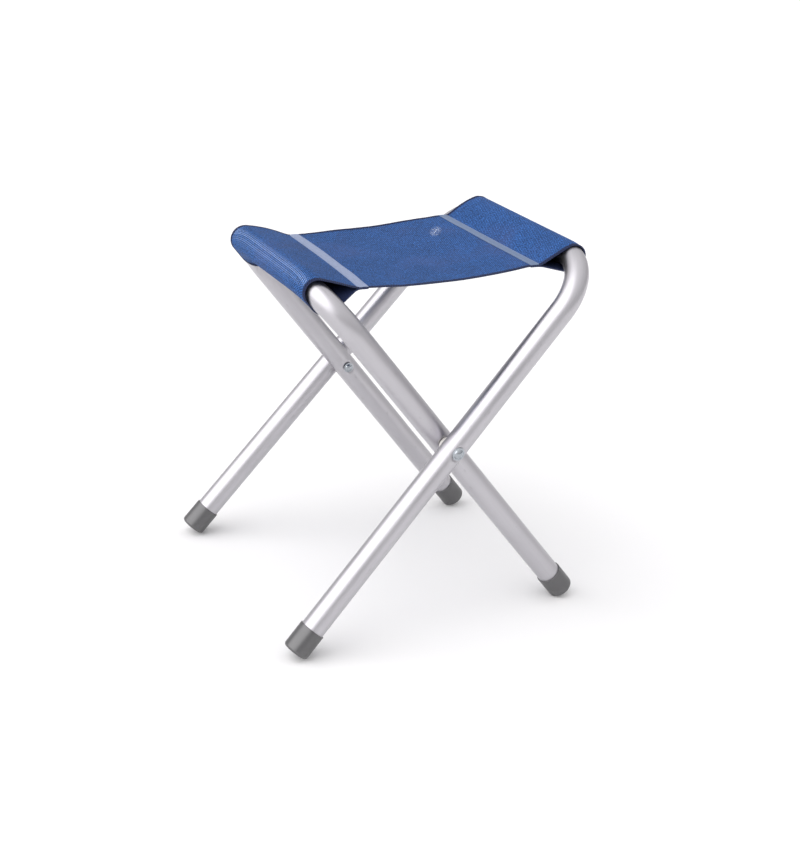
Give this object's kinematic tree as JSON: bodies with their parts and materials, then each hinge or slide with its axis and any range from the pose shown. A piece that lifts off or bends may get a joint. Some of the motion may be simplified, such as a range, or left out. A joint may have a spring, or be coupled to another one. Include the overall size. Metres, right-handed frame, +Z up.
{
  "type": "folding camp stool",
  "caption": "Low folding stool: crossed U-frames of round aluminium tube on rivets, with a woven cloth seat slung between the top rails and capped feet.",
  "frame": {"origin": "on the floor, midway between the four feet, under the axis of the two rivets", "axes": "+Z up; +X from the inner frame's rail to the outer frame's rail; +Y along the rails, towards the back"},
  "size_m": [0.3476, 0.3222, 0.3907],
  "materials": {
    "frame_tube": "satin anodised",
    "foot_cap": "moulded, slightly glossy grey",
    "rivet": "plated, polished dome",
    "washer": "plated",
    "spacer": "natural nylon",
    "seat_cloth": "coated woven mesh",
    "seam_tape": "woven tape",
    "thread": "twisted polyester"
  },
  "bodies": {
    "outer_frame": {"outer_frame_tube": "frame_tube", "front_rivet": "rivet", "front_head_washer": "washer", "front_spacer": "spacer", "front_tail_washer": "washer", "outer_front_foot_cap": "foot_cap", "back_rivet": "rivet", "back_head_washer": "washer", "back_spacer": "spacer", "back_tail_washer": "washer", "outer_back_foot_cap": "foot_cap"},
    "inner_frame": {"inner_frame_tube": "frame_tube", "inner_front_foot_cap": "foot_cap", "inner_back_foot_cap": "foot_cap"},
    "outer_seat_half": {"outer_seat_cloth": "seat_cloth", "outer_seam_tape": "seam_tape", "outer_seam_thread": "thread"},
    "inner_seat_half": {"inner_seat_cloth": "seat_cloth", "inner_seam_tape": "seam_tape", "inner_seam_thread": "thread"}
  },
  "joints": [
    {"name": "fold", "type": "hinge", "parent": "outer_frame", "child": "inner_frame", "pos_m": [0, 0, 0.201], "axis": [0, 1, 0], "range_deg": [0, 71], "deforming": ["outer_seat_cloth", "inner_seat_cloth"]},
    {"name": "outer_seat_drop", "type": "hinge", "parent": "outer_frame", "child": "outer_seat_half", "pos_m": [0.14972, 0, 0.37692], "axis": [0, -1, 0], "range_deg": [0, 73.9]},
    {"name": "inner_seat_drop", "type": "hinge", "parent": "inner_frame", "child": "inner_seat_half", "pos_m": [-0.13675, 0, 0.36169], "axis": [0, 1, 0], "range_deg": [0, 11.1]}
  ],
  "couplings": [
    {"joint": "outer_seat_drop", "follows": "fold", "ratio": 1.039},
    {"joint": "inner_seat_drop", "follows": "fold", "ratio": 0.1544}
  ]
}
